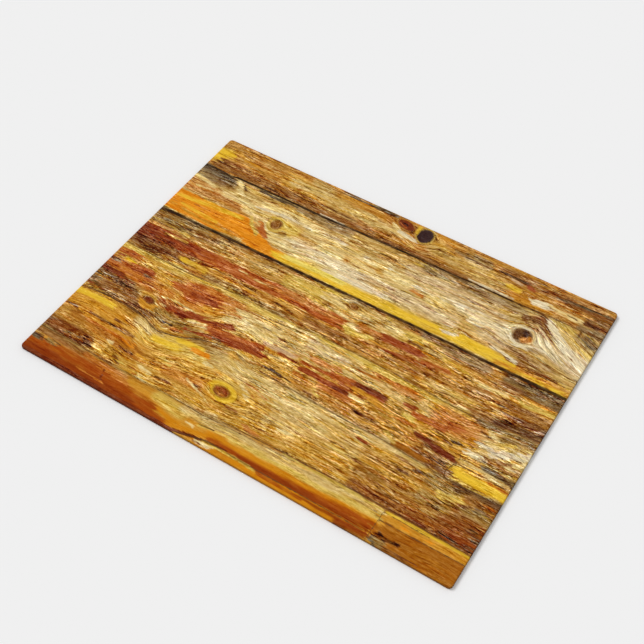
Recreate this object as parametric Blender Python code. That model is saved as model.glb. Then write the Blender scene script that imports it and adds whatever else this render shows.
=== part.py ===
"""Printed door mat, 24 x 18 inches: a short polyester pile bonded to a moulded rubber base.

The mat is four bonded layers. From the floor up they are a rubber base with round grip nubs
moulded into its underside, a hot-melt bonding film, the primary backing cloth that the pile
is tufted through, and the printed pile itself, whose top edge is rolled over all round.
The origin is at the middle of the mat on the floor, +X runs along the long side and +Z is up.
"""

import math

import bmesh
import bpy
from mathutils import Matrix

# Driving dimensions, in metres.
MAT_LENGTH = 0.6096
MAT_WIDTH = 0.4572
CORNER_RADIUS = 0.005
CORNER_SEGMENTS = 8

NUB_HEIGHT = 0.0005
RUBBER_SHEET = 0.0009
FILM_THICKNESS = 0.0002
BACKING_THICKNESS = 0.0004
PILE_THICKNESS = 0.0021
LAYER_GAP = 0.0003

# How far each layer's edge lies inside the pile's edge.
RUBBER_INSET = 0.0008
BACKING_INSET = 0.0014
FILM_INSET = 0.0020

PILE_ROLL = 0.0015
PILE_ROLL_SEGMENTS = 4

NUB_RADIUS = 0.0040
NUB_TIP_RADIUS = 0.0032
NUB_SIDES = 8
NUBS_ALONG = 15
NUBS_ACROSS = 11
NUB_MARGIN = 0.024
NUB_ROOT = 0.0004

# Heights of the layers' undersides above the floor.
RUBBER_BOTTOM = NUB_HEIGHT
FILM_BOTTOM = RUBBER_BOTTOM + RUBBER_SHEET + LAYER_GAP
BACKING_BOTTOM = FILM_BOTTOM + FILM_THICKNESS + LAYER_GAP
PILE_BOTTOM = BACKING_BOTTOM + BACKING_THICKNESS + LAYER_GAP

TOLERANCE = 1e-6


def clear_scene():
    for obj in list(bpy.data.objects):
        bpy.data.objects.remove(obj, do_unlink=True)


def new_collection(name):
    collection = bpy.data.collections.new(name)
    bpy.context.scene.collection.children.link(collection)
    return collection


def material(name, colour, roughness):
    """A non-metallic Principled material with one colour."""
    made = bpy.data.materials.new(name)
    made.use_nodes = True
    shader = made.node_tree.nodes["Principled BSDF"]
    shader.inputs["Base Color"].default_value = (*colour, 1.0)
    shader.inputs["Roughness"].default_value = roughness
    shader.inputs["Metallic"].default_value = 0.0
    return made


def add_object(name, bm, collection, surface=None):
    """Turns bm into a named object in the collection."""
    mesh = bpy.data.meshes.new(name)
    bm.to_mesh(mesh)
    bm.free()
    obj = bpy.data.objects.new(name, mesh)
    collection.objects.link(obj)
    if surface is not None:
        mesh.materials.append(surface)
    return obj


def upright(edge):
    low, high = (vertex.co for vertex in edge.verts)
    return (low - high).xy.length < TOLERANCE


def sheet_mesh(inset, thickness):
    """A flat sheet standing on z = 0, its edge inside the mat's by inset, with rounded corners."""
    length = MAT_LENGTH - 2 * inset
    width = MAT_WIDTH - 2 * inset
    size = Matrix.Diagonal((length, width, thickness, 1.0))
    lift = Matrix.Translation((0.0, 0.0, thickness / 2))
    bm = bmesh.new()
    bmesh.ops.create_cube(bm, size=1.0, matrix=lift @ size)
    bmesh.ops.bevel(
        bm,
        geom=[edge for edge in bm.edges if upright(edge)],
        offset=CORNER_RADIUS - inset,
        offset_type="OFFSET",
        segments=CORNER_SEGMENTS,
        profile=0.5,
        affect="EDGES",
    )
    return bm


def roll_top_edge(bm, height, radius):
    """Rounds the rim of the sheet's top face."""
    rim = [
        edge
        for edge in bm.edges
        if all(abs(vertex.co.z - height) < TOLERANCE for vertex in edge.verts)
        and any(abs(face.normal.z) < 0.5 for face in edge.link_faces)
    ]
    bmesh.ops.bevel(
        bm,
        geom=rim,
        offset=radius,
        offset_type="OFFSET",
        segments=PILE_ROLL_SEGMENTS,
        profile=0.5,
        affect="EDGES",
    )


def printed_pile(collection):
    """The cut polyester pile that carries the print, as one mass with a rolled top edge."""
    bm = sheet_mesh(0.0, PILE_THICKNESS)
    roll_top_edge(bm, PILE_THICKNESS, PILE_ROLL)
    pile = add_object("printed_pile", bm, collection, material("polyester_pile", (0.47, 0.22, 0.05), 0.95))
    pile.location.z = PILE_BOTTOM
    pile.data.shade_smooth()
    pile.data.set_sharp_from_angle(angle=math.radians(40.0))


def primary_backing(collection):
    """The woven cloth that the pile's tufts are held in."""
    bm = sheet_mesh(BACKING_INSET, BACKING_THICKNESS)
    cloth = add_object("primary_backing", bm, collection, material("backing_cloth", (0.55, 0.53, 0.49), 0.9))
    cloth.location.z = BACKING_BOTTOM


def bonding_film(collection):
    """The hot-melt film that joins the backing cloth to the rubber."""
    bm = sheet_mesh(FILM_INSET, FILM_THICKNESS)
    film = add_object("bonding_film", bm, collection, material("hot_melt_film", (0.72, 0.68, 0.58), 0.5))
    film.location.z = FILM_BOTTOM


def nub_centres():
    """The nubs' centres, on an even grid that has one nub at the middle of the mat."""
    step_x = (MAT_LENGTH - 2 * NUB_MARGIN) / (NUBS_ALONG - 1)
    step_y = (MAT_WIDTH - 2 * NUB_MARGIN) / (NUBS_ACROSS - 1)
    for column in range(NUBS_ALONG):
        for row in range(NUBS_ACROSS):
            x = (column - (NUBS_ALONG - 1) / 2) * step_x
            y = (row - (NUBS_ACROSS - 1) / 2) * step_y
            yield x, y


def grip_nubs(collection):
    """All the nubs as one helper mesh: tapered studs that reach from the floor into the sheet."""
    height = NUB_HEIGHT + NUB_ROOT
    bm = bmesh.new()
    for x, y in nub_centres():
        bmesh.ops.create_cone(
            bm,
            cap_ends=True,
            segments=NUB_SIDES,
            radius1=NUB_TIP_RADIUS,
            radius2=NUB_RADIUS,
            depth=height,
            matrix=Matrix.Translation((x, y, height / 2)),
        )
    nubs = add_object("nub_studs", bm, collection)
    nubs.hide_render = True
    nubs.display_type = "WIRE"
    return nubs


def rubber_base(collection, helpers):
    """The moulded rubber base: a thin sheet with the nubs moulded in one piece with it."""
    bm = sheet_mesh(RUBBER_INSET, RUBBER_SHEET)
    base = add_object("rubber_base", bm, collection, material("black_rubber", (0.018, 0.018, 0.020), 0.75))
    base.location.z = RUBBER_BOTTOM
    union = base.modifiers.new("grip_nubs", "BOOLEAN")
    union.operation = "UNION"
    union.solver = "EXACT"
    union.object = grip_nubs(helpers)


def main():
    clear_scene()
    mat = new_collection("printed_door_mat")
    helpers = new_collection("helpers")
    rubber_base(mat, helpers)
    bonding_film(mat)
    primary_backing(mat)
    printed_pile(mat)


main()
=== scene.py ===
"""Looks for the printed door mat: its print, pile, cloth, film and rubber, with the floor, light and camera.

The print is painted on the pile's mesh in two steps. First, joints, knots, patches and
cracks are turned into point attributes: a base colour, which also holds painted shade on the
rolled rim, the direction of the wood's grain and how rough each spot is. Then the pile's
material draws fibres, flakes and crevices along that grain.

Print places are in millimetres: x from the mat's middle to the right, d down from its far long edge.
"""

import math

import bmesh
import bpy
import numpy as np
from mathutils import Matrix, Vector


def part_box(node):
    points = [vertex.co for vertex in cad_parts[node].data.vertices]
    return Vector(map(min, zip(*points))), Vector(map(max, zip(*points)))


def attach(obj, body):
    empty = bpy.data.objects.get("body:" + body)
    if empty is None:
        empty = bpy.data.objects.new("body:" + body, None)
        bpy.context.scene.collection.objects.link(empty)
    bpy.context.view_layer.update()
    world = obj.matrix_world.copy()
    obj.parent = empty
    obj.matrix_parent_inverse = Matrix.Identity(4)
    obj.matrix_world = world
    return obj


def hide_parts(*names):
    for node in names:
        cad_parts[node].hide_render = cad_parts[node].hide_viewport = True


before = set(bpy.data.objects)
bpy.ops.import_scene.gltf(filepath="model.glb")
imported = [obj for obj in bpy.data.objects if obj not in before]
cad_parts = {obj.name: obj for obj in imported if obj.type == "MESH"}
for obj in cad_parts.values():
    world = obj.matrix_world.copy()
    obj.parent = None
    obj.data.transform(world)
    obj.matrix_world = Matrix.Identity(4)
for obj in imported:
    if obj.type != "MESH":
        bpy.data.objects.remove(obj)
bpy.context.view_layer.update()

MM = 0.001

# ---------------------------------------------------------------------------------------------
# The mat's sizes, read from the frame.
PILE_LOW, PILE_HIGH = (Vector(corner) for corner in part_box("printed_pile"))
RUBBER_LOW, RUBBER_HIGH = (Vector(corner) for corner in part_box("rubber_base"))
HALF_LENGTH = PILE_HIGH.x
HALF_WIDTH = PILE_HIGH.y
MAT_DEPTH = 2 * HALF_WIDTH / MM
CORNER_RADIUS = 5 * MM
PILE_ROLL = 1.5 * MM

# The pile's mesh: fine across the grain, coarser along it.
COLUMNS = 230
ROWS = 384
CORNER_ROWS = 8
RIM_INSETS = (1.5, 1.05, 0.62, 0.28, 0.07, 0.0)
FRINGE_LOW = 0.3 * MM
FRINGE_WIDTH = 0.45 * MM
TUFT_RELIEF = 0.05 * MM

# The rubber's nubs: their margin from the mat's edge, their numbers and their profile (radius, height).
NUB_MARGIN = 24 * MM
NUBS_ALONG = 15
NUBS_ACROSS = 11
NUB_HEIGHT = 0.5 * MM
NUB_PROFILE = [(2.7, 0.0), (3.05, 0.06), (3.3, 0.18), (3.55, 0.34), (3.9, 0.5), (3.9, 0.9)]
NUB_SIDES = 24

# Light, floor and camera.
SKY_SHARE = 0.62
SUN_ELEVATION = math.radians(48)
SUN_AZIMUTH = math.radians(180)
SUN_ANGLE = math.radians(25)
FLOOR_SIZE = 60
FLOOR_COLOUR = (0.871, 0.871, 0.871, 1)
CAMERA_AZIMUTH = math.radians(31.1)
CAMERA_ELEVATION = math.radians(50.7)
CAMERA_ROLL = math.radians(1.5)
CAMERA_DISTANCE = 1.4675
CAMERA_TARGET = (-0.0108, 0.0118, 0.0)
LENS = 64.08

# ---------------------------------------------------------------------------------------------
# The print's colours (display red, green, blue) and how strongly the grain shows on each.
PALETTE = {
    "soot": (46, 27, 12, 0.5),
    "bark": (98, 64, 34, 0.9),
    "umber": (122, 76, 34, 0.9),
    "walnut": (146, 96, 44, 0.9),
    "maroon": (116, 50, 20, 0.5),
    "brick": (150, 70, 28, 0.5),
    "rust": (174, 92, 36, 0.5),
    "clay": (192, 126, 58, 0.7),
    "copper": (188, 112, 36, 0.6),
    "amber": (202, 140, 42, 0.45),
    "orange": (223, 138, 26, 0.4),
    "gold": (198, 148, 58, 0.9),
    "honey": (184, 130, 54, 0.9),
    "lemon": (231, 188, 52, 0.25),
    "straw": (214, 180, 84, 0.6),
    "tan": (194, 156, 84, 0.8),
    "sand": (210, 178, 108, 0.8),
    "cream": (226, 198, 130, 0.7),
    "chalk": (228, 210, 168, 0.6),
    "blush": (202, 164, 120, 0.5),
    "olive": (156, 122, 64, 0.8),
    "grey": (148, 122, 82, 0.8),
    "slate": (108, 88, 60, 0.7),
    "night": (58, 38, 36, 0.4),
    "ash": (174, 144, 98, 0.7),
    "linen": (208, 178, 126, 0.7),
    "primrose": (232, 206, 96, 0.35),
    "chestnut": (140, 80, 27, 0.8),
    "sienna": (165, 101, 26, 0.4),
    "varnish": (158, 71, 9, 0.2),
    "mahogany": (136, 55, 7, 0.2),
    "flame": (205, 130, 16, 0.2),
}

# Painted shade on the rolled rim: how much of its brightness the print keeps at the foot of the rim.
RIM_SHADE = 0.62
# Highest weight of the noise that tears a patch along the grain, and the most grit of smooth varnish.
FIBRE_TEAR = 26
SMOOTH_GRIT = 0.25
# Weight of the noise that makes the grain wander, and how far from a crack places are measured.
WAVE_HEIGHT = 5.0
CRACK_REACH = 4.0
# The grain's dip at the second log's right end: where it starts, where it fades with depth, its slope.
DIP_START = 226
DIP_FADE = (112, 150)
DIP_SLOPE = 0.42

# The joints between the six logs, from the far edge to the near edge, as (x, d) points.
JOINTS = [
    [(-305, 64), (-275, 63), (-250, 62), (-175, 61), (-100, 61), (-50, 59), (0, 57.5), (50, 57),
     (100, 57), (150, 55.5), (200, 56), (225, 53.5), (275, 53), (305, 55)],
    [(-305, 167), (-250, 166.5), (-200, 165.5), (-125, 165), (-50, 164), (0, 163), (50, 162.5),
     (100, 162), (200, 162.5), (305, 162)],
    [(-305, 245), (-225, 246), (-200, 246), (-175, 244), (-125, 242), (-50, 241.5), (50, 240.5),
     (100, 241), (150, 242.5), (200, 245.5), (220, 245), (260, 240), (305, 235)],
    [(-305, 338), (-262, 333), (-225, 334), (-200, 338), (-175, 346), (-160, 343), (-140, 338),
     (-120, 328), (-75, 322), (-50, 329), (0, 330), (50, 331.5), (100, 333), (150, 333),
     (200, 336.5), (232, 339.5), (305, 339)],
    [(-305, 417), (-225, 418), (-190, 420.5), (-100, 419), (-50, 418), (0, 413.5), (50, 411.5),
     (100, 411), (200, 411), (305, 412.5)],
]
# Slow changes of a log's tone: length along and height across the grain, seed, share.
LOG_TONES = [(90, 9, 11, 0.35), (40, 3, 12, 0.3)]
# A wash's reach and where its edge starts and ends, in half widths, and its edge noise's weight.
WASH_REACH = 1.6
WASH_EDGE = (0.55, 1.35)
WASH_WANDER = 6
# Limits of a rough patch's ragged edge and of a patch's tear across the grain, and its edge noise's weight.
PATCH_RAG = 3.0
CROSS_TEAR = 2.4
PATCH_UNEVEN = 1.3
# Each log's own colour, how strongly its grain shows and how fine it is.
LOG_COLOURS = ["honey", "tan", "honey", "gold", "gold", "amber"]
LOG_GRITS = [0.95, 1.1, 1.3, 1.4, 1.05, 0.7]
LOG_FINENESS = [1.0, 1.0, 1.15, 1.45, 1.15, 0.8]
# How wide and how strongly each joint shades the log above it and the log below it.
JOINT_SHADES = [
    (4, 0.35, 5, 0.3), (2, 0.5, 5, 0.55), (4, 0.25, 3, 0.15), (4, 0.4, 3, 0.2), (4, 0.35, 3, 0.25),
]
# The pile's mesh rows stay straight over this depth, at the far and at the near edge.
EDGE_BAND = 12.0

# Knots: place, radii, tilt in degrees, heart colour, rim colour, rim width and reach of the swirl.
KNOTS = [
    (-3, 12, 15, 8, 14, "maroon", "amber", 1.5, 14),
    (29, 16.5, 12, 13.3, 0, "night", "straw", 2.2, 26),
    (-153, 109, 8.5, 9, 0, "walnut", "straw", 5.5, 26),
    (216, 101, 13.5, 12.5, 0, "bark", "cream", 3.5, 34),
    (149.5, 144, 4.2, 4.2, 0, "clay", "sand", 2.2, 10),
    (13, 177, 6.5, 4.2, 8, "walnut", "tan", 2.0, 16),
    (-216, 311, 7, 4.5, 10, "maroon", "walnut", 1.2, 22),
    (-53, 379, 12.5, 8, 6, "chestnut", "lemon", 6.0, 40),
]

# Soft areas of colour: colour, half width, strength and the points of the line they follow.
WASHES = [
    # first log
    ("walnut", 9, 0.9, (-290, 50), (-60, 51)), ("umber", 9, 0.4, (-290, 50), (-205, 48)),
    ("gold", 14, 0.8, (-185, 25), (-100, 30)), ("amber", 12, 0.4, (-95, 18), (-40, 20)),
    ("walnut", 6, 0.8, (-60, 54), (110, 53)), ("gold", 12, 0.7, (50, 20), (60, 30)),
    ("tan", 13, 0.7, (85, 36), (150, 36)), ("slate", 7, 0.6, (285, 24), (305, 30)),
    ("amber", 6, 0.8, (180, 50), (228, 49)), ("walnut", 9, 0.8, (-288, 46), (-235, 50)),
    ("walnut", 5, 0.7, (-150, 44), (0, 47)), ("grey", 6, 0.8, (80, 15), (125, 14)),
    ("linen", 6, 0.8, (98, 22), (125, 22)), ("walnut", 9, 0.8, (150, 15), (300, 16)),
    ("umber", 6, 0.6, (240, 17), (305, 20)), ("umber", 6, 0.7, (278, 34), (305, 40)),
    ("amber", 6, 0.6, (45, 6), (95, 12)), ("sand", 8, 0.9, (-175, 24), (-125, 22)),
    ("tan", 7, 0.9, (-150, 9), (-120, 14)), ("tan", 9, 0.9, (-110, 26), (-40, 31)),
    ("sand", 8, 0.9, (-75, 32), (0, 33)), ("tan", 8, 0.9, (45, 29), (82, 34)),
    ("tan", 6, 0.8, (-112, 40), (-70, 41)), ("honey", 6, 0.7, (-35, 41), (5, 43)),
    ("olive", 6, 0.7, (95, 15), (130, 18)), ("tan", 8, 0.8, (120, 38), (160, 40)),
    ("grey", 5, 0.9, (272, 47), (305, 49)),
    # second log
    ("slate", 12, 1.0, (-305, 73), (-262, 76)), ("olive", 8, 0.6, (-300, 78), (-270, 80)),
    ("grey", 7, 0.8, (-140, 66), (-60, 68)), ("tan", 10, 0.8, (-60, 72), (60, 72)),
    ("grey", 8, 0.8, (60, 66), (200, 66)), ("sand", 10, 0.9, (-230, 93), (-60, 90)),
    ("clay", 12, 0.7, (-305, 108), (-190, 106)), ("amber", 10, 0.5, (-125, 104), (0, 108)),
    ("gold", 10, 0.5, (0, 105), (90, 110)), ("sand", 15, 0.9, (-120, 130), (120, 130)),
    ("chalk", 12, 0.7, (-120, 128), (0, 130)), ("sand", 12, 0.9, (110, 98), (200, 100)),
    ("chalk", 8, 0.4, (130, 101), (200, 103)), ("chalk", 16, 0.7, (235, 92), (305, 112)),
    ("ash", 6, 0.7, (200, 126), (265, 132)), ("sand", 9, 0.7, (250, 62), (305, 88)),
    ("slate", 9, 0.9, (-305, 69), (-252, 74)), ("umber", 6, 0.6, (-272, 82), (-246, 83)),
    ("sand", 8, 0.9, (0, 92), (195, 92)), ("chalk", 6, 0.3, (105, 100), (200, 102)),
    ("sand", 9, 0.8, (0, 120), (130, 124)), ("walnut", 8, 0.3, (208, 128), (270, 138)),
    ("copper", 5, 0.4, (-60, 110), (0, 112)), ("grey", 8, 0.6, (282, 66), (305, 70)),
    ("ash", 7, 0.9, (-105, 66), (-60, 67)), ("grey", 8, 0.8, (-305, 81), (-277, 83)),
    ("sand", 8, 0.7, (-200, 106), (-130, 108)), ("cream", 6, 0.9, (-245, 98), (-150, 94)),
    ("chalk", 6, 0.7, (150, 113), (200, 117)), ("ash", 7, 0.6, (110, 66), (170, 66)),
    ("cream", 9, 0.9, (-180, 85), (-150, 84)), ("linen", 10, 1.0, (45, 82), (180, 90)),
    ("sand", 11, 0.9, (-105, 96), (-20, 100)), ("cream", 6, 0.8, (-100, 96), (-80, 96)),
    ("cream", 7, 0.9, (-25, 96), (-2, 97)), ("sand", 8, 0.9, (-205, 105), (-180, 105)),
    ("straw", 9, 0.9, (-155, 104), (-125, 108)), ("cream", 8, 1.0, (22, 104), (105, 106)),
    ("cream", 7, 1.0, (-78, 113), (-50, 113)), ("cream", 6, 0.9, (-28, 113), (0, 113)),
    ("linen", 10, 0.9, (172, 121), (200, 126)), ("linen", 10, 0.9, (0, 127), (130, 130)),
    ("cream", 10, 0.8, (-150, 130), (-120, 136)), ("cream", 8, 1.0, (-105, 142), (0, 144)),
    ("chalk", 6, 0.8, (-50, 144), (15, 142)), ("cream", 5, 0.8, (125, 150), (150, 150)),
    # third log
    ("olive", 12, 0.9, (-305, 178), (-225, 180)), ("tan", 12, 0.7, (-200, 182), (-60, 184)),
    ("straw", 9, 0.6, (-50, 176), (90, 182)), ("grey", 9, 0.8, (115, 172), (200, 174)),
    ("slate", 10, 0.8, (235, 175), (305, 174)), ("gold", 7, 0.8, (120, 190), (305, 194)),
    ("umber", 12, 0.7, (-305, 226), (-215, 230)), ("honey", 10, 0.7, (-200, 228), (30, 230)),
    ("honey", 14, 0.8, (60, 222), (305, 216)), ("olive", 5, 0.7, (-180, 237), (-40, 238)),
    ("gold", 8, 0.7, (90, 233), (215, 231)), ("walnut", 7, 0.8, (215, 238), (305, 230)),
    ("sand", 8, 0.9, (-50, 174), (10, 172)), ("straw", 10, 0.9, (-82, 184), (-42, 181)),
    ("sand", 9, 0.9, (20, 182), (78, 181)), ("tan", 6, 0.9, (12, 171), (80, 173)),
    ("straw", 8, 0.9, (98, 180), (125, 180)), ("tan", 8, 0.9, (125, 180), (150, 182)),
    ("olive", 7, 0.8, (-305, 189), (-272, 189)), ("tan", 6, 0.8, (-35, 197), (28, 197)),
    ("walnut", 6, 0.7, (-228, 181), (-203, 180)), ("maroon", 9, 0.8, (-305, 223), (-272, 226)),
    ("umber", 9, 0.9, (-300, 235), (-252, 232)), ("walnut", 6, 0.8, (-28, 228), (28, 228)),
    ("tan", 6, 0.8, (150, 230), (222, 229)), ("bark", 7, 0.8, (248, 237), (300, 231)),
    ("umber", 7, 0.9, (272, 221), (305, 221)), ("walnut", 7, 0.7, (225, 186), (250, 186)),
    ("walnut", 9, 0.6, (200, 210), (305, 207)), ("chestnut", 7, 0.7, (100, 214), (150, 214)),
    ("walnut", 6, 0.6, (95, 227), (130, 227)), ("honey", 7, 0.7, (-180, 178), (-150, 192)),
    # fourth log
    ("straw", 5, 1.0, (-305, 250), (-215, 251), (-150, 246), (60, 246), (215, 249)),
    ("grey", 5, 0.9, (232, 247), (305, 243)), ("gold", 10, 0.8, (-262, 258), (-200, 262)),
    ("clay", 14, 0.8, (-300, 285), (-235, 288)), ("clay", 16, 0.7, (-190, 268), (-110, 262)),
    ("sand", 20, 0.8, (-90, 272), (60, 266)), ("sand", 10, 0.6, (80, 266), (180, 266)),
    ("gold", 10, 0.7, (-60, 304), (60, 312)), ("honey", 14, 0.8, (20, 318), (190, 318)),
    ("gold", 10, 0.7, (90, 292), (210, 292)), ("clay", 16, 0.9, (190, 264), (236, 268)),
    ("sand", 24, 0.9, (265, 275), (305, 280)), ("bark", 13, 0.8, (-305, 318), (-240, 316)),
    ("olive", 9, 0.8, (-200, 322), (-130, 322)), ("walnut", 10, 0.8, (190, 326), (228, 330)),
    ("sand", 5, 0.9, (-52, 250), (2, 250)), ("olive", 5, 0.9, (272, 250), (305, 249)),
    ("linen", 7, 0.9, (0, 258), (50, 258)), ("clay", 6, 0.8, (122, 257), (152, 258)),
    ("sand", 9, 0.9, (-80, 268), (-48, 268)), ("rust", 8, 0.8, (-300, 283), (-240, 280)),
    ("cream", 8, 0.9, (-80, 282), (-50, 282)), ("copper", 9, 0.8, (-228, 291), (-200, 290)),
    ("copper", 9, 0.7, (-178, 287), (-150, 286)), ("umber", 8, 0.9, (-305, 300), (-250, 304)),
    ("brick", 9, 0.8, (-200, 305), (-175, 306)), ("rust", 8, 0.8, (45, 303), (80, 304)),
    ("slate", 7, 0.9, (270, 306), (305, 307)), ("walnut", 7, 0.7, (272, 291), (305, 292)),
    ("olive", 6, 0.8, (268, 256), (305, 256)), ("walnut", 10, 0.9, (-280, 321), (-225, 324)),
    ("umber", 8, 0.8, (-228, 331), (-202, 331)), ("honey", 8, 0.7, (45, 322), (80, 323)),
    ("gold", 6, 0.9, (-50, 331), (25, 331)), ("umber", 14, 0.8, (200, 318), (226, 326)),
    # fifth log
    ("amber", 16, 0.9, (-305, 356), (-235, 358)), ("honey", 16, 0.7, (-305, 385), (-200, 385)),
    ("copper", 10, 0.5, (-250, 382), (-150, 388)), ("straw", 12, 0.7, (-185, 356), (-105, 352)),
    ("olive", 8, 0.8, (-125, 333), (-85, 331)), ("sand", 8, 1.0, (-60, 337), (200, 338)),
    ("gold", 20, 0.4, (-150, 385), (-100, 395)), ("sand", 18, 0.5, (20, 358), (120, 362)),
    ("walnut", 16, 0.6, (150, 388), (305, 392)), ("umber", 12, 0.7, (275, 392), (305, 390)),
    ("olive", 9, 0.8, (222, 346), (250, 350)), ("walnut", 9, 0.5, (140, 356), (215, 356)),
    ("umber", 12, 1.0, (-305, 407), (-245, 407)), ("grey", 5, 0.8, (285, 358), (297, 362)),
    ("sand", 9, 0.9, (-90, 340), (30, 342)), ("bark", 7, 0.9, (248, 343), (305, 342)),
    ("sand", 7, 0.9, (-205, 348), (-170, 350)), ("sand", 7, 0.9, (-80, 349), (-10, 352)),
    ("cream", 9, 0.8, (0, 352), (60, 350)), ("gold", 7, 0.8, (148, 347), (180, 347)),
    ("walnut", 8, 0.8, (272, 349), (305, 352)), ("sand", 9, 0.9, (0, 360), (78, 362)),
    ("gold", 9, 0.8, (-80, 364), (-20, 362)), ("olive", 8, 0.8, (222, 373), (252, 372)),
    ("walnut", 9, 0.9, (268, 370), (305, 374)), ("sienna", 7, 0.8, (-280, 381), (-250, 381)),
    ("sand", 12, 0.8, (22, 384), (55, 386)), ("olive", 7, 0.8, (222, 355), (252, 357)),
    ("olive", 7, 0.8, (272, 364), (305, 364)), ("gold", 6, 0.8, (-75, 364), (-20, 364)),
    ("sienna", 9, 0.8, (-205, 388), (-175, 389)), ("copper", 9, 0.7, (-128, 389), (-80, 388)),
    ("chestnut", 10, 0.9, (150, 405), (305, 404)), ("chestnut", 13, 0.9, (262, 390), (305, 388)),
    ("mahogany", 7, 0.8, (270, 404), (305, 403)), ("chestnut", 8, 0.9, (-290, 405), (-240, 405)),
    ("gold", 9, 0.8, (30, 392), (75, 389)), ("straw", 9, 0.6, (-60, 366), (-30, 370)),
    ("gold", 8, 0.6, (-40, 380), (-20, 382)),
    # sixth log
    ("tan", 6, 1.0, (-305, 422), (-170, 424)), ("straw", 11, 0.8, (-110, 426), (-75, 430)),
    ("sand", 7, 1.0, (-75, 424), (195, 420)), ("walnut", 5, 0.9, (-305, 423), (-228, 424)),
    ("clay", 5, 0.9, (-225, 425), (-165, 426)),
    ("straw", 5, 0.9, (-45, 434), (0, 430), (110, 429), (195, 426)),
]

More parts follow.
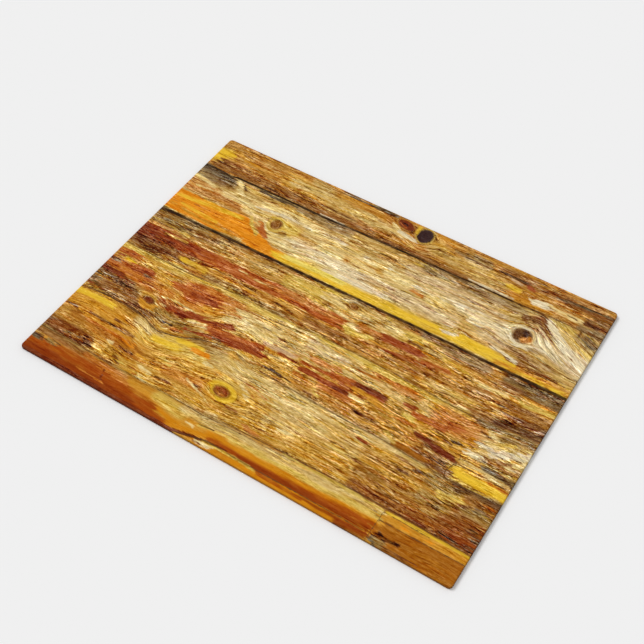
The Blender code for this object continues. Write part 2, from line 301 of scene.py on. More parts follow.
# Patches with ragged edges: colour, half width, cover from 0 (flakes) to 1 (solid), and points.
PATCHES = [
    # first log: varnish left over at the far left corner
    ("lemon", 7, 1.0, (-312, 28), (-286, 27)), ("lemon", 7, 1.0, (-310, 41), (-297, 41)),
    ("bark", 2, 0.4, (-290, 56), (-262, 57)), ("umber", 1.3, 0.5, (-200, 40), (-120, 42), (-60, 44)),
    ("clay", 2, 0.4, (-240, 53), (-205, 56)), ("straw", 1.5, 0.4, (-250, 9), (-225, 10)),
    ("amber", 3, 0.5, (-260, 27), (-205, 31)), ("umber", 3, 0.3, (-265, 20), (-190, 19)),
    ("straw", 3, 0.2, (-168, 21), (-122, 24)), ("sand", 2, 0.1, (-230, 24), (-196, 26)),
    ("straw", 3, 0.1, (-140, 6), (-105, 9)), ("clay", 4, 0.2, (-165, 36), (-150, 38)),
    ("slate", 2.8, 0.7, (-105, 4), (-22, 4)), ("clay", 4, 0.3, (-34, 18), (-22, 24)),
    ("cream", 2.6, 0.7, (-20, 19), (0, 29), (16, 33)), ("chalk", 3.2, 0.9, (-4, 27), (20, 32)),
    ("night", 1.6, 0.6, (-13, 10), (-2, 12)), ("rust", 1.2, 0.6, (-14, 13), (0, 17)),
    ("night", 1.4, 0.5, (2, 14), (10, 19)), ("lemon", 2.5, 0.6, (15, 5), (16, 16)),
    ("straw", 4, 0.3, (2, 38), (25, 44)), ("bark", 1.6, 0.6, (95, 21), (135, 19), (158, 17)),
    ("bark", 2.2, 0.8, (152, 17.5), (168, 18), (185, 17)), ("blush", 2.2, 0.8, (162, 22), (176, 24)),
    ("brick", 3.6, 0.7, (187, 23), (194, 25)), ("amber", 4, 0.3, (160, 6), (215, 8)),
    ("lemon", 3.5, 0.6, (165, 34), (179, 35)), ("chalk", 5.5, 1.0, (205, 41), (224, 39)),
    ("cream", 3.4, 0.6, (224, 38), (270, 40)), ("bark", 1.4, 0.6, (226, 38), (236, 39)),
    ("bark", 1.4, 0.6, (252, 39), (264, 39)), ("bark", 4, 0.8, (277, 38), (292, 41)),
    ("cream", 1.4, 0.7, (276, 31), (292, 33)), ("slate", 2, 0.6, (225, 17), (305, 14)),
    ("umber", 2.4, 0.6, (276, 32), (305, 36)), ("straw", 2, 0.4, (100, 31), (150, 29)),
    ("chalk", 1.2, 1.0, (-113, 58.6), (-74, 58.2)), ("chalk", 1.5, 1.0, (116, 53.2), (178, 52)),
    # second log: grey and bleached wood over orange varnish
    ("slate", 3.4, 0.6, (-205, 65), (-148, 66)), ("chalk", 1.5, 0.3, (-200, 65), (-182, 65)),
    ("cream", 3.8, 1.0, (-241, 67), (-234, 77), (-227, 84)), ("tan", 6, 0.4, (-228, 72), (-208, 80)),
    ("bark", 1.6, 0.5, (-226, 74), (-214, 82)), ("cream", 3.2, 0.8, (-310, 88), (-288, 90), (-268, 94)),
    ("cream", 2.6, 0.8, (-190, 84), (-160, 80), (-110, 80), (-70, 84)),
    ("cream", 1.6, 0.7, (-250, 98), (-200, 98)), ("chalk", 2.0, 0.7, (-195, 95), (-150, 89), (-110, 90)),
    ("chalk", 2.4, 0.5, (-90, 88), (-55, 89)), ("chalk", 2.6, 0.5, (-20, 95), (20, 94)),
    ("clay", 2.2, 0.3, (-15, 88), (10, 86)), ("straw", 3, 0.2, (-22, 77), (2, 82)),
    ("straw", 3, 0.3, (40, 64), (75, 66)), ("chalk", 3.2, 0.5, (60, 101), (105, 104)),
    ("chalk", 2.4, 0.4, (110, 100), (190, 97)), ("copper", 2.2, 0.4, (58, 111), (78, 113)),
    ("copper", 3, 0.2, (-10, 100), (45, 102)), ("orange", 20, 1.0, (-310, 142), (-225, 142), (-196, 139)),
    ("orange", 12, 1.0, (-195, 133), (-178, 146), (-150, 152)),
    ("lemon", 2.2, 0.5, (-262, 123), (-206, 125)), ("copper", 1.6, 0.5, (-305, 145), (-250, 144)),
    ("tan", 3, 0.4, (-222, 152), (-178, 157)), ("orange", 8, 1.0, (-165, 155), (-115, 155)),
    ("lemon", 7.5, 1.0, (-118, 156), (-50, 155), (60, 153), (180, 151), (305, 153)),
    ("primrose", 4, 0.9, (-110, 151), (-20, 150)), ("amber", 4, 0.7, (205, 157), (305, 155)),
    ("lemon", 5, 1.0, (152, 145), (200, 147)), ("copper", 3, 0.3, (215, 156), (275, 153)),
    ("straw", 2.2, 0.9, (-190, 114), (-182, 127), (-165, 140)),
    ("straw", 3, 0.9, (-140, 98), (-134, 108), (-128, 116)), ("chalk", 5, 0.3, (-60, 122), (-10, 128)),
    ("chalk", 3, 0.6, (-35, 142), (40, 141)), ("clay", 3, 0.2, (-70, 112), (-20, 120)),
    ("clay", 3, 0.3, (60, 134), (135, 135)), ("chalk", 3, 0.7, (128, 149), (143, 147)),
    ("walnut", 6, 1.0, (218, 67), (226, 62), (232, 70)), ("umber", 6, 0.8, (208, 72), (224, 68), (240, 76)),
    ("walnut", 4, 0.5, (215, 78), (245, 86)), ("cream", 2.4, 0.5, (206, 58), (216, 58)),
    ("cream", 1.4, 0.7, (188, 77), (200, 72)),
    ("chalk", 5.2, 1.0, (236, 62), (252, 77), (276, 92), (300, 100)),
    ("straw", 5.5, 0.6, (246, 57), (268, 60)), ("slate", 6, 0.5, (288, 62), (300, 68)),
    ("bark", 1.8, 0.8, (276, 56), (278, 64)), ("straw", 4, 0.4, (275, 84), (300, 86)),
    ("walnut", 1.2, 0.4, (250, 88), (262, 96), (285, 103)),
    ("chalk", 3.4, 0.8, (203, 112), (216, 118), (232, 116), (250, 108)),
    ("chalk", 2.2, 0.4, (236, 100), (300, 116)), ("slate", 1.2, 0.4, (250, 112), (305, 130)),
    ("walnut", 3, 0.3, (230, 126), (262, 130)), ("umber", 3.2, 0.6, (228, 140), (256, 140)),
    ("walnut", 3.4, 0.9, (220, 144), (285, 146)), ("honey", 3, 0.8, (232, 149), (305, 150)),
    ("ash", 4, 0.5, (205, 112), (245, 114)), ("chalk", 2.4, 1.0, (193, 138), (208, 139), (228, 145)),
    ("umber", 1.6, 0.7, (228, 58), (236, 70), (245, 79)), ("tan", 2, 0.5, (212, 76), (230, 73)),
    ("chalk", 3.0, 1.0, (240, 64), (256, 82), (272, 97)), ("night", 2.4, 0.6, (216, 92), (220, 100)),
    ("chalk", 2.4, 0.8, (245, 94), (275, 106), (305, 112)), ("bark", 1.8, 0.6, (-232, 70), (-222, 82)),
    ("straw", 2.2, 0.9, (-164, 100), (-154, 96), (-144, 99)),
    ("lemon", 3, 0.6, (-300, 133), (-250, 129), (-200, 124)), ("lemon", 2.4, 0.5, (-285, 146), (-225, 150)),
    ("amber", 2.2, 0.6, (-300, 153), (-240, 156), (-190, 158)),
    ("copper", 2, 0.5, (-270, 138), (-215, 139)), ("clay", 5, 0.4, (-300, 112), (-245, 108)),
    ("cream", 1.4, 0.7, (-290, 105), (-240, 98)), ("copper", 6, 0.6, (-172, 121), (-160, 130)),
    ("rust", 4, 0.8, (-168, 124), (-154, 136)), ("cream", 1.5, 0.8, (-170, 110), (-162, 122), (-148, 132)),
    ("clay", 4.5, 0.8, (219, 107), (226, 103)), ("walnut", 1.2, 0.6, (-168, 116), (-162, 126), (-148, 131)),
    ("chalk", 1.8, 0.8, (200, 96), (206, 88), (222, 87)),
    ("chalk", 1.8, 0.9, (202, 106), (207, 115), (220, 117), (234, 111)),
    # third log: a rust band between weathered fibres
    ("slate", 4, 0.5, (-285, 182), (-250, 183)), ("straw", 2, 0.3, (-275, 190), (-240, 192)),
    ("slate", 1.8, 0.6, (-190, 169), (-160, 170)), ("gold", 3, 0.3, (-200, 175), (-140, 180)),
    ("cream", 2, 0.2, (-160, 187), (-110, 184)), ("gold", 3, 0.4, (-170, 196), (-150, 196)),
    ("straw", 4, 0.6, (-50, 172), (-15, 171)), ("cream", 2.6, 0.7, (-32, 184), (2, 184)),
    ("straw", 3, 0.5, (-48, 191), (-30, 192)), ("cream", 2, 0.4, (-12, 196), (14, 196)),
    ("cream", 5, 0.3, (30, 184), (95, 180)), ("straw", 2.5, 0.4, (28, 168), (60, 169)),
    ("umber", 2, 0.7, (100, 187), (120, 188)), ("walnut", 2, 0.4, (145, 180), (215, 182)),
    ("lemon", 2, 0.3, (150, 188), (185, 192)), ("cream", 3.2, 0.8, (205, 199), (242, 197)),
    ("straw", 4, 0.6, (262, 196), (305, 193)), ("brick", 10, 1.0, (-310, 209), (-190, 209)),
    ("rust", 9.5, 1.0, (-200, 209), (-90, 208), (9, 209)), ("maroon", 9, 0.6, (-310, 211), (-235, 212)),
    ("brick", 6, 0.4, (-225, 208), (-190, 206)), ("maroon", 3, 0.3, (-265, 212), (-240, 211)),
    ("clay", 5, 0.6, (-135, 204), (0, 204)), ("gold", 2, 0.9, (-268, 204.5), (-234, 202.5)),
    ("sand", 1.1, 0.6, (-148, 205), (-136, 205)), ("sand", 1.1, 0.6, (-122, 208), (-105, 208)),
    ("sand", 1.0, 0.4, (-90, 211), (-65, 211)), ("straw", 6.5, 0.9, (23, 208), (27, 212)),
    ("straw", 4.5, 1.0, (25, 215), (54, 210)), ("cream", 3, 0.4, (22, 204), (34, 206)),
    ("clay", 5, 0.9, (38, 200), (72, 198)), ("brick", 5.5, 1.0, (72, 198), (126, 197)),
    ("cream", 1.2, 0.9, (44, 194.5), (66, 193)), ("brick", 2.6, 0.6, (55, 220), (100, 214), (132, 212)),
    ("rust", 3.4, 0.6, (132, 207), (165, 203)), ("amber", 2.4, 0.6, (58, 212), (95, 209)),
    ("gold", 3, 0.7, (-78, 220), (-35, 219)), ("walnut", 1.8, 0.4, (60, 206), (130, 205)),
    ("maroon", 10, 0.2, (-310, 224), (-250, 228)), ("umber", 2.4, 0.6, (-200, 222), (-140, 224)),
    ("umber", 1.5, 0.4, (-140, 225), (-70, 226)), ("lemon", 3.5, 0.6, (-222, 229), (-184, 231)),
    ("straw", 2.2, 0.5, (-230, 242), (-208, 243)), ("clay", 3, 0.5, (-208, 237), (-196, 241)),
    ("amber", 2, 0.5, (-140, 224), (-105, 229)), ("umber", 2.6, 0.4, (-25, 236), (-5, 236)),
    ("straw", 3.5, 0.4, (180, 228), (212, 230)), ("umber", 1.8, 0.7, (245, 220), (305, 224)),
    ("bark", 2, 0.4, (255, 226), (305, 221)), ("bark", 3, 0.3, (240, 237), (260, 234)),
    ("umber", 2, 0.3, (250, 204), (285, 206)), ("cream", 1.2, 0.7, (198, 241), (215, 240)),
    # fourth log: flaking rust over cream wood, and its end block
    ("rust", 4.5, 0.7, (-310, 259), (-268, 259)), ("copper", 3, 0.3, (-300, 256), (-270, 262)),
    ("gold", 3.5, 0.6, (-258, 262), (-242, 255)), ("lemon", 2.2, 0.7, (-284, 269), (-272, 269)),
    ("sand", 1.3, 0.8, (-240, 259), (-215, 256)), ("gold", 3, 0.4, (-242, 262), (-215, 264)),
    ("rust", 3.2, 0.7, (-270, 273), (-240, 271)), ("brick", 3, 0.6, (-300, 268), (-292, 268)),
    ("bark", 3, 0.7, (-310, 277), (-290, 277)), ("brick", 3.0, 0.7, (-265, 280), (-240, 274)),
    ("umber", 2.4, 0.8, (-246, 280), (-236, 279)), ("copper", 6, 0.6, (-285, 289), (-245, 290)),
    ("maroon", 4, 0.8, (-310, 293), (-270, 297)), ("brick", 3, 0.5, (-280, 297), (-255, 298)),
    ("cream", 2, 0.4, (-222, 294), (-212, 296)), ("rust", 12, 1.0, (-176, 264), (-142, 263)),
    ("rust", 6, 0.9, (-202, 271), (-172, 268)), ("copper", 5, 0.8, (-160, 254), (-120, 255)),
    ("clay", 6, 0.6, (-125, 258), (-105, 258)), ("brick", 4.2, 0.8, (-176, 273), (-138, 271)),
    ("rust", 4, 0.8, (-180, 279), (-152, 278)), ("amber", 5, 0.7, (-150, 283), (-130, 284)),
    ("cream", 5.5, 0.8, (-112, 283), (-92, 276)), ("cream", 3.2, 0.9, (-108, 264), (-92, 265)),
    ("copper", 3, 0.5, (-115, 268), (-100, 270)),
    ("cream", 1.4, 0.9, (-205, 297), (-180, 294), (-152, 297)),
    ("clay", 4.5, 0.8, (-192, 299), (-170, 303)), ("brick", 4.5, 0.9, (-185, 307), (-160, 306)),
    ("maroon", 3.2, 0.8, (-172, 309), (-160, 311)),
    ("brick", 5, 0.8, (-160, 303), (-130, 299), (-100, 292)),
    ("rust", 7, 1.0, (-120, 307), (-80, 305), (-50, 299)),
    ("brick", 5, 0.9, (-115, 312), (-70, 309), (-42, 306)), ("brick", 3, 0.6, (-105, 315), (-78, 313)),
    ("bark", 3, 0.5, (-285, 307), (-250, 308)), ("walnut", 1.2, 0.5, (-300, 312), (-240, 310)),
    ("umber", 2.6, 0.7, (-128, 319), (-98, 317)), ("brick", 2.6, 0.7, (-150, 324), (-112, 318)),
    ("copper", 3, 0.6, (-162, 333), (-150, 330)), ("walnut", 3, 0.7, (-40, 273), (-32, 272)),
    ("grey", 1.6, 0.5, (-66, 268), (-55, 267)), ("cream", 4, 0.5, (-90, 264), (-50, 262)),
    ("cream", 3, 0.5, (-25, 265), (10, 260)), ("cream", 3.2, 0.6, (2, 258), (45, 255)),
    ("blush", 2.6, 0.7, (-50, 288), (-5, 286)), ("grey", 1.5, 0.5, (-40, 282), (-5, 280)),
    ("clay", 3, 0.4, (-35, 282), (0, 282)), ("amber", 2, 0.5, (-45, 294), (-30, 297)),
    ("brick", 2, 0.7, (-28, 292), (-2, 293)), ("straw", 3, 0.4, (40, 266), (55, 268)),
    ("clay", 4, 0.7, (12, 276), (35, 276), (52, 272)), ("walnut", 2.4, 0.5, (30, 284), (44, 282)),
    ("rust", 5, 0.9, (48, 284), (74, 282)), ("rust", 2.6, 0.8, (5, 288), (40, 286)),
    ("maroon", 3.8, 1.0, (78, 281), (95, 280), (120, 279)), ("brick", 2, 0.6, (75, 285), (120, 285)),
    ("brick", 4.2, 1.0, (12, 297), (45, 298), (76, 298)), ("maroon", 2.4, 0.7, (55, 300), (76, 298)),
    ("brick", 2.4, 0.6, (60, 290), (100, 294)), ("amber", 4, 0.8, (80, 288), (118, 290)),
    ("copper", 3, 0.8, (95, 254), (145, 253)), ("clay", 4, 0.5, (70, 258), (100, 257)),
    ("gold", 2, 0.3, (150, 254), (190, 257)), ("brick", 3, 0.7, (143, 274), (156, 273)),
    ("rust", 4.2, 0.9, (160, 280), (200, 280)), ("straw", 3.4, 0.6, (150, 288), (162, 288)),
    ("copper", 2.4, 0.4, (120, 296), (170, 294)), ("rust", 6, 0.7, (206, 272), (216, 270)),
    ("bark", 2.6, 0.7, (218, 290), (226, 289)), ("umber", 2.2, 0.6, (208, 294), (218, 296)),
    ("amber", 4, 0.5, (228, 284), (238, 276)), ("maroon", 4, 0.9, (176, 304), (205, 306)),
    ("maroon", 4.2, 0.9, (205, 309), (232, 313)), ("umber", 3, 0.7, (205, 332), (226, 334)),
    ("sienna", 4, 0.9, (158, 330), (203, 331)), ("cream", 1.2, 0.5, (195, 317), (232, 318)),
    ("cream", 2, 0.4, (150, 305), (170, 307)), ("straw", 3, 0.5, (142, 318), (158, 328)),
    ("umber", 2.2, 0.5, (95, 315), (130, 316)), ("brick", 2, 0.5, (112, 311), (122, 312)),
    ("cream", 2, 0.6, (80, 299), (100, 300)), ("cream", 1.4, 0.7, (-45, 302), (-25, 300)),
    ("cream", 1.8, 0.6, (-22, 299), (0, 298)), ("night", 2.0, 0.9, (-22, 319), (-5, 321)),
    ("bark", 1.4, 0.5, (-40, 318), (8, 322)), ("copper", 3, 0.5, (5, 306), (30, 307)),
    ("straw", 2.4, 0.4, (32, 312), (48, 320)), ("umber", 1.8, 0.6, (30, 324), (42, 325)),
    ("straw", 2.4, 0.5, (-70, 318), (-30, 325)), ("tan", 4, 0.6, (-60, 322), (-25, 327)),
    ("amber", 4.4, 1.0, (-224, 317), (-215, 322), (-204, 319)), ("cream", 3, 0.5, (-205, 312), (-194, 310)),
    ("cream", 3, 0.7, (-150, 311), (-128, 308)), ("cream", 2.2, 0.5, (-150, 317), (-128, 314)),
    ("night", 1.6, 0.6, (-180, 330), (-165, 328)), ("sand", 2.4, 0.5, (-182, 338), (-166, 336)),
    ("sand", 12, 0.1, (-300, 312), (-240, 316)), ("brick", 4, 0.4, (-305, 326), (-296, 324)),
    ("walnut", 3, 0.3, (-290, 324), (-250, 328)), ("chalk", 3, 0.8, (244, 277), (262, 277)),
    ("chalk", 4.5, 0.9, (240, 294), (259, 293)), ("chalk", 5, 0.9, (266, 281), (285, 271), (305, 262)),
    ("cream", 3, 0.8, (249, 254), (262, 262)), ("cream", 4, 0.9, (287, 287), (303, 274)),
    ("ash", 3, 0.5, (262, 250), (305, 246)), ("umber", 1.6, 0.7, (240, 259), (252, 261)),
    ("straw", 2.4, 0.7, (260, 265), (283, 257)), ("walnut", 2.5, 0.8, (259, 289), (269, 292)),
    ("walnut", 2.2, 0.8, (272, 290), (290, 283)), ("umber", 1.4, 0.6, (262, 282), (276, 279)),
    ("sand", 3, 0.8, (238, 308), (300, 312)), ("slate", 3.2, 0.8, (264, 303), (282, 304)),
    ("bark", 1.8, 0.8, (282, 304), (300, 305)), ("lemon", 7, 1.0, (241, 325), (305, 326)),
    ("copper", 1.6, 0.8, (278, 318), (305, 320)), ("straw", 1.4, 0.9, (240, 336), (285, 336)),
    # fifth log: streaked wood with a large eye
    ("lemon", 4, 0.9, (-310, 345), (-250, 344)), ("umber", 1.6, 0.6, (-232, 360), (-212, 359)),
    ("walnut", 2.2, 0.8, (-268, 368), (-228, 369), (-195, 370)),
    ("amber", 2.4, 1.0, (-268, 375), (-195, 375)), ("copper", 2.2, 0.8, (-260, 379), (-195, 379)),
    ("umber", 1.4, 0.6, (-300, 370), (-285, 370)), ("orange", 4, 0.6, (-198, 382), (-184, 382)),
    ("sand", 3, 0.5, (-200, 343), (-165, 347)), ("lemon", 5, 0.8, (-175, 357), (-138, 355)),
    ("lemon", 3.6, 1.0, (-145, 342), (-108, 341)), ("orange", 3.8, 0.9, (-120, 345), (-98, 344)),
    ("cream", 3, 0.5, (-95, 354), (-85, 356)), ("straw", 3, 0.5, (-146, 374), (-130, 382)),
    ("amber", 3, 0.5, (-172, 390), (-160, 392)), ("umber", 2, 0.5, (-200, 392), (-180, 391)),
    ("cream", 2.4, 0.7, (-218, 393), (-211, 391)), ("umber", 3, 0.6, (-245, 404), (-232, 412)),
    ("bark", 2, 0.6, (-275, 409), (-250, 407)), ("bark", 8, 0.3, (-310, 408), (-290, 408)),
    ("umber", 2.4, 0.5, (-196, 406), (-186, 412)), ("straw", 2.6, 0.6, (-184, 411), (-174, 411)),
    ("cream", 3, 0.6, (-158, 403), (-145, 405)), ("cream", 2.4, 0.6, (-152, 416), (-138, 417)),
    ("umber", 3, 0.5, (-135, 402), (-118, 404)), ("brick", 3, 0.5, (-168, 408), (-158, 414)),
    ("umber", 2.4, 0.5, (-100, 384), (-80, 390), (-68, 396)),
    ("cream", 1.2, 0.7, (-100, 386), (-76, 394), (-56, 402)), ("walnut", 3.2, 0.5, (-38, 391), (-22, 396)),
    ("sand", 2.4, 0.5, (-10, 394), (4, 388)), ("straw", 2.6, 0.8, (-70, 384), (-64, 391), (-54, 394)),
    ("amber", 4, 0.5, (-76, 376), (-70, 388), (-56, 393)), ("brick", 2.4, 0.6, (-62, 376), (-46, 378)),
    ("clay", 1, 0.7, (-62, 381), (-46, 383)), ("clay", 3, 0.7, (0, 406), (18, 409)),
    ("cream", 2.4, 0.8, (-52, 414), (-38, 413)), ("cream", 3.4, 0.5, (-36, 360), (-20, 370)),
    ("clay", 0.9, 0.5, (-46, 353), (-22, 353), (0, 360)),
    ("clay", 0.9, 0.5, (-34, 358), (-14, 366), (-4, 376)), ("gold", 4, 0.5, (5, 360), (10, 372)),
    ("brick", 2.4, 0.5, (88, 348), (96, 346)), ("brick", 2.6, 0.7, (120, 347), (134, 347)),
    ("cream", 3, 0.7, (36, 389), (50, 385)), ("straw", 2.6, 0.5, (100, 372), (120, 374)),
    ("straw", 3, 0.4, (135, 388), (145, 390)), ("walnut", 1.8, 0.5, (170, 342), (200, 347)),
    ("umber", 2.4, 0.7, (182, 358), (194, 359)), ("bark", 2.2, 0.6, (200, 349), (218, 346)),
    ("walnut", 3, 0.4, (118, 376), (140, 374)), ("straw", 5, 0.7, (237, 362), (262, 356)),
    ("olive", 4, 0.7, (222, 343), (248, 350)), ("bark", 1.8, 0.7, (232, 379), (246, 380)),
    ("umber", 2.4, 0.6, (262, 366), (275, 359)), ("slate", 3, 0.6, (283, 359), (292, 358)),
    ("copper", 3, 0.4, (290, 348), (305, 352)), ("amber", 3, 0.3, (215, 396), (260, 394)),
    ("bark", 6, 0.5, (292, 388), (305, 392)), ("maroon", 3, 0.6, (220, 406), (240, 407)),
    ("bark", 4, 0.6, (262, 406), (305, 406)), ("umber", 2, 0.4, (200, 378), (230, 377)),
    # sixth log: smooth varnish and the plank beside it
    ("amber", 2, 0.6, (-112, 437), (-85, 439)),
    ("varnish", 15, 1.0, (-310, 448), (-262, 444), (-200, 443), (-160, 446)),
    ("varnish", 10.5, 1.0, (-165, 446), (-112, 447)), ("varnish", 5, 1.0, (-120, 453), (-78, 453)),
    ("copper", 3, 0.9, (-200, 429), (-155, 432)), ("flame", 2.4, 0.8, (-102, 440), (-80, 446)),
    ("flame", 6, 1.0, (-78, 448), (-64, 446), (-40, 440), (-10, 436)),
    ("amber", 3, 0.8, (-66, 442), (-40, 437), (-10, 434)),
    ("mahogany", 7, 1.0, (-310, 451), (-240, 450), (-190, 450), (-130, 454)),
    ("maroon", 3, 1.0, (-310, 456), (-230, 455), (-70, 457)),
    ("maroon", 1.1, 0.6, (-193, 430), (-190, 438), (-186, 447)),
    ("flame", 4, 1.0, (-30, 438), (0, 437), (110, 436), (192, 433)),
    ("varnish", 6, 1.0, (-22, 446), (60, 445), (130, 442), (192, 438)),
    ("mahogany", 4, 0.9, (20, 446), (192, 446)), ("mahogany", 5, 1.0, (100, 453), (192, 453)),
    ("slate", 3, 0.8, (-303, 434), (-290, 434)), ("olive", 3, 0.7, (-282, 432), (-266, 433)),
    ("umber", 1, 0.7, (-305, 430), (-291, 429), (-286, 436)),
    ("copper", 0.8, 0.8, (-225, 445), (-182, 447)),
    ("maroon", 2, 0.8, (-70, 455), (-45, 451), (-25, 447), (0, 447)),
    ("flame", 4, 1.0, (-35, 454), (60, 454), (150, 457)), ("flame", 1.2, 0.8, (60, 449), (190, 448.5)),
    ("varnish", 2, 0.6, (50, 451), (110, 452)), ("straw", 1.8, 0.7, (-30, 449), (20, 448), (50, 450)),
    ("cream", 3, 0.8, (-34, 453), (-18, 453)), ("walnut", 1.2, 0.4, (-40, 454), (-30, 455)),
    ("cream", 2, 0.7, (-62, 438), (-52, 439)), ("grey", 2, 0.5, (188, 421), (193, 424)),
    ("straw", 1.6, 0.9, (60, 413), (195, 413)), ("sienna", 22, 1.0, (220, 438), (310, 438)),
    ("lemon", 2, 1.0, (199, 414), (305, 414.5)), ("amber", 4.6, 1.0, (202, 421), (310, 421)),
    ("orange", 3, 0.4, (225, 420), (260, 421)), ("umber", 2.4, 0.8, (201, 446), (232, 444)),
    ("bark", 2, 0.5, (205, 440), (215, 448)), ("slate", 3.4, 0.6, (201, 452), (208, 454)),
    ("olive", 4, 0.6, (206, 452), (216, 453)), ("umber", 1.6, 0.5, (217, 455), (260, 455)),
]

# Cracks and the joints' dark lines: half width and points.
CRACKS = [
    (1.6, (-310, 65), (-290, 62.5), (-275, 63), (-258, 65.5), (-250, 62)),
    (1.7, (-250, 62), (-175, 61), (-100, 61), (-75, 60)), (1.6, (-75, 60), (-50, 59), (-25, 58.5)),
    (2.0, (-25, 58.5), (0, 57.5), (50, 57)), (0.9, (8, 53.5), (45, 54)),
    (1.5, (50, 57), (100, 57), (125, 56), (200, 56)), (1.2, (200, 56), (225, 53.5)),
    (0.6, (225, 53.5), (275, 53), (305, 55)), (2.4, (-310, 167), (-250, 166.5), (-225, 166)),
    (2.2, (-225, 166), (-200, 165.5), (-125, 165), (-50, 164), (0, 163)),
    (2.0, (0, 163), (50, 162.5), (100, 162), (200, 162.5)), (2.4, (200, 162.5), (310, 162)),
    (0.5, (-310, 245), (-225, 246), (-200, 246), (-175, 244)),
    (0.3, (-175, 244), (-125, 242), (-50, 241.5)), (0.5, (-20, 241), (50, 240.5), (100, 241)),
    (0.6, (110, 241), (150, 242.5), (175, 244.5), (200, 245.5), (225, 245)),
    (0.4, (240, 242), (260, 240), (285, 238)), (0.8, (280, 238), (305, 235)),
    (0.8, (-310, 339), (-290, 336), (-275, 334)), (1.0, (-275, 334), (-262, 333.5), (-245, 334)),
    (0.6, (-245, 334), (-225, 334), (-200, 338), (-190, 341)),
    (0.8, (-192, 341), (-178, 345.5), (-170, 346), (-162, 343)),
    (0.7, (-162, 343), (-145, 339), (-135, 334), (-124, 329)),
    (0.6, (-124, 329), (-112, 325), (-100, 321.5), (-75, 318.5)),
    (0.5, (-20, 329), (0, 330), (50, 331.5), (100, 333), (150, 333), (175, 335)),
    (0.6, (175, 335), (200, 336.5), (225, 338)), (0.8, (232, 339), (250, 339.5), (275, 338), (310, 340)),
    (0.6, (233, 300), (236, 306), (233, 318), (229, 330), (232, 339)),
    (0.5, (238, 315), (260, 314), (290, 315), (305, 317)), (0.8, (-310, 417), (-290, 417)),
    (0.5, (-290, 417), (-225, 418), (-190, 420.5)),
    (0.4, (-120, 418), (-75, 418), (-50, 419.5), (-25, 417.5), (25, 416.5), (75, 415)),
    (0.5, (-25, 414), (0, 413.5), (50, 411.5), (100, 411)),
    (0.5, (50, 411), (100, 410), (200, 410), (250, 411), (305, 412)),
    (0.5, (-310, 431), (-292, 430), (-287, 436)), (0.6, (-276, 428), (-262, 430)),
    (0.3, (196.5, 413), (196.5, 457)), (0.4, (197, 415.5), (255, 416.5)),
    (0.5, (198, 427), (250, 426.5), (305, 425.5)), (0.8, (-45, 432), (-28, 430)),
    (0.5, (-40, 418), (-20, 418)), (0.5, (185, 135), (200, 140), (228, 146)),
    (0.9, (-6, 447), (-25, 447), (-50, 452), (-66, 456)), (0.5, (0, 447.5), (60, 448), (190, 448)),
]


# ---------------------------------------------------------------------------------------------
# Painting the print

def linear(display):
    """A display value from 0 to 1 as linear light."""
    display = np.asarray(display, dtype=float)
    return np.where(display <= 0.04045, display / 12.92, ((display + 0.055) / 1.055) ** 2.4)


def palette_colour(name):
    return linear(np.array(PALETTE[name][:3]) / 255)


def smooth_step(low, high, value):
    t = np.clip((value - low) / (high - low), 0, 1)
    return t * t * (3 - 2 * t)


def lattice_noise(x, y, seed):
    """Smooth noise from 0 to 1 with cells of size 1."""
    column, row = np.floor(x).astype(np.int64), np.floor(y).astype(np.int64)
    along, across = x - column, y - row
    along, across = along * along * (3 - 2 * along), across * across * (3 - 2 * across)

    def corner(step_x, step_y):
        mixed = (column + step_x) * 374761 + (row + step_y) * 668265 + seed * 982451
        mixed = (mixed ^ (mixed >> 11)) * 127413 & 0xFFFFFFFF
        mixed = (mixed ^ (mixed >> 15)) * 285181 & 0xFFFFFFFF
        return (mixed ^ (mixed >> 13)) % 65536 / 65536

    far = corner(0, 0) * (1 - along) + corner(1, 0) * along
    near = corner(0, 1) * (1 - along) + corner(1, 1) * along
    return far * (1 - across) + near * across


def grain_noise(u, v, length, height, seed):
    """Two octaves of noise drawn out along the grain, from about -0.5 to 0.5."""
    coarse = lattice_noise(u / length, v / height, seed)
    fine = lattice_noise(u * 2.3 / length, v * 2.3 / height, seed + 57)
    return 0.62 * coarse + 0.38 * fine - 0.5


def measure_line(x, d, points):
    """For each place: its distance to a line through the points, its signed offset and its overshoot."""
    nearest, offset, overshoot = np.full(len(x), 1e9), np.zeros(len(x)), np.zeros(len(x))
    for (ax, ad), (bx, bd) in zip(points, points[1:]):
        length = math.hypot(bx - ax, bd - ad)
        along = ((x - ax) * (bx - ax) + (d - ad) * (bd - ad)) / length
        across = ((bx - ax) * (d - ad) - (bd - ad) * (x - ax)) / length
        past = along - np.clip(along, 0, length)
        distance = np.hypot(past, across)
        closer = distance < nearest
        nearest = np.where(closer, distance, nearest)
        offset = np.where(closer, across, offset)
        overshoot = np.where(closer, np.abs(past), overshoot)
    return nearest, offset, overshoot


def near_line(x, d, points, reach):
    """The places whose distance to a line's box is within reach."""
    xs, ds = zip(*points)
    inside_x = (x > min(xs) - reach) & (x < max(xs) + reach)
    inside_d = (d > min(ds) - reach) & (d < max(ds) + reach)
    return np.nonzero(inside_x & inside_d)[0]


def joint_depths(x):
    """Depth of each joint at x, with the mat's straight edge bands first and last."""
    lines = [np.interp(x, *zip(*joint)) for joint in JOINTS]
    flat = [np.full(len(x), level) for level in joint_levels()]
    return flat[:2] + lines + flat[-2:]


def joint_levels():
    """Each joint's mean depth, with the mat's straight edge bands first and last."""
    means = [sum(point[1] for point in joint) / len(joint) for joint in JOINTS]
    return [0.0, EDGE_BAND] + means + [MAT_DEPTH - EDGE_BAND, MAT_DEPTH]


